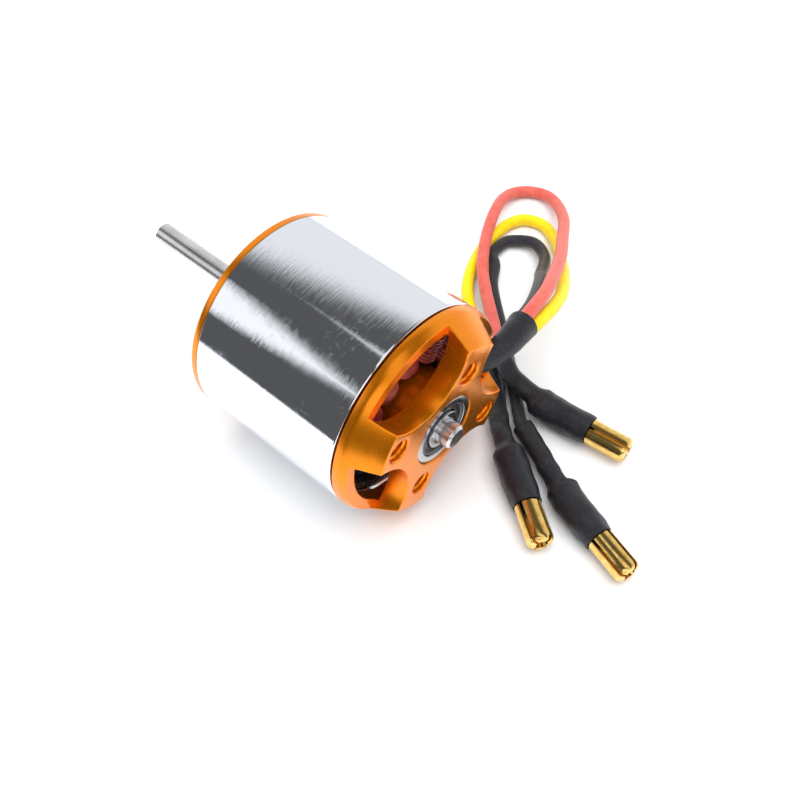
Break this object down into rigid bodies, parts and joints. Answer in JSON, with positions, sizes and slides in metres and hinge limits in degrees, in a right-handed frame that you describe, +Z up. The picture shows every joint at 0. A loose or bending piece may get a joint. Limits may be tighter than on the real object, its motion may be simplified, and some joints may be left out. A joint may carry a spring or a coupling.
{
  "type": "brushless outrunner motor",
  "caption": "Brushless outrunner motor: steel bell and vented cap turning on a shaft round a wound stator, scalloped face mount, three leads with bullet plugs.",
  "frame": {"origin": "on the floor plane, under the middle of the motor without its leads, with the motor lying on its side", "axes": "+X runs along the shaft's axis from the output end towards the mounting face; +Z is up; the shaft's axis is 14 mm above the origin"},
  "size_m": [0.0758, 0.068, 0.028],
  "materials": {
    "orange_anodised": "satin orange anodised aluminium",
    "polished_steel": "polished steel with fine hairline scratches",
    "ground_steel": "ground and polished steel shaft",
    "bearing_steel": "polished bearing steel",
    "shield_steel": "pressed steel shield",
    "black_oxide": "black oxide alloy steel",
    "coated_magnet": "black coated neodymium magnet with dabs of adhesive",
    "coated_core": "stacked silicon steel laminations with an epoxy coat",
    "enamelled_copper": "red enamelled copper winding",
    "red_silicone": "matte silicone insulation",
    "yellow_silicone": "matte silicone insulation",
    "black_silicone": "matte silicone insulation",
    "shrink_tube": "black heat shrink tube",
    "gold_plate": "gold plated brass"
  },
  "bodies": {
    "stator": {"bullet_pin_black": "gold_plate", "bullet_pin_red": "gold_plate", "bullet_pin_yellow": "gold_plate", "coil_01": "enamelled_copper", "coil_02": "enamelled_copper", "coil_03": "enamelled_copper", "coil_04": "enamelled_copper", "coil_05": "enamelled_copper", "coil_06": "enamelled_copper", "coil_07": "enamelled_copper", "coil_08": "enamelled_copper", "coil_09": "enamelled_copper", "coil_10": "enamelled_copper", "coil_11": "enamelled_copper", "coil_12": "enamelled_copper", "front_bearing_inside_shield": "shield_steel", "front_bearing_outer_race": "bearing_steel", "front_bearing_outside_shield": "shield_steel", "lead_sleeve": "shrink_tube", "mount_base": "orange_anodised", "rear_bearing_inside_shield": "shield_steel", "rear_bearing_outer_race": "bearing_steel", "rear_bearing_outside_shield": "shield_steel", "shrink_tube_black": "shrink_tube", "shrink_tube_red": "shrink_tube", "shrink_tube_yellow": "shrink_tube", "stator_core": "coated_core", "wire_black": "black_silicone", "wire_red": "red_silicone", "wire_yellow": "yellow_silicone"},
    "rotor": {"bell_cap": "orange_anodised", "flux_ring": "polished_steel", "front_bearing_inner_race": "bearing_steel", "grub_screw_1": "black_oxide", "grub_screw_2": "black_oxide", "hub_spacer": "bearing_steel", "magnet_01": "coated_magnet", "magnet_02": "coated_magnet", "magnet_03": "coated_magnet", "magnet_04": "coated_magnet", "magnet_05": "coated_magnet", "magnet_06": "coated_magnet", "magnet_07": "coated_magnet", "magnet_08": "coated_magnet", "magnet_09": "coated_magnet", "magnet_10": "coated_magnet", "magnet_11": "coated_magnet", "magnet_12": "coated_magnet", "magnet_13": "coated_magnet", "magnet_14": "coated_magnet", "rear_bearing_inner_race": "bearing_steel", "shaft": "ground_steel"},
    "front_cage": {"front_bearing_ball_set": "bearing_steel"},
    "rear_cage": {"rear_bearing_ball_set": "bearing_steel"}
  },
  "joints": [
    {"name": "rotor_spin", "type": "hinge", "parent": "stator", "child": "rotor", "pos_m": [0, 0, 0.014], "axis": [1, 0, 0], "continuous": true},
    {"name": "front_cage_spin", "type": "hinge", "parent": "stator", "child": "front_cage", "pos_m": [0, 0, 0.014], "axis": [1, 0, 0], "continuous": true},
    {"name": "rear_cage_spin", "type": "hinge", "parent": "stator", "child": "rear_cage", "pos_m": [0, 0, 0.014], "axis": [1, 0, 0], "continuous": true}
  ],
  "couplings": [
    {"joint": "front_cage_spin", "follows": "rotor_spin", "ratio": 0.375},
    {"joint": "rear_cage_spin", "follows": "rotor_spin", "ratio": 0.375}
  ]
}
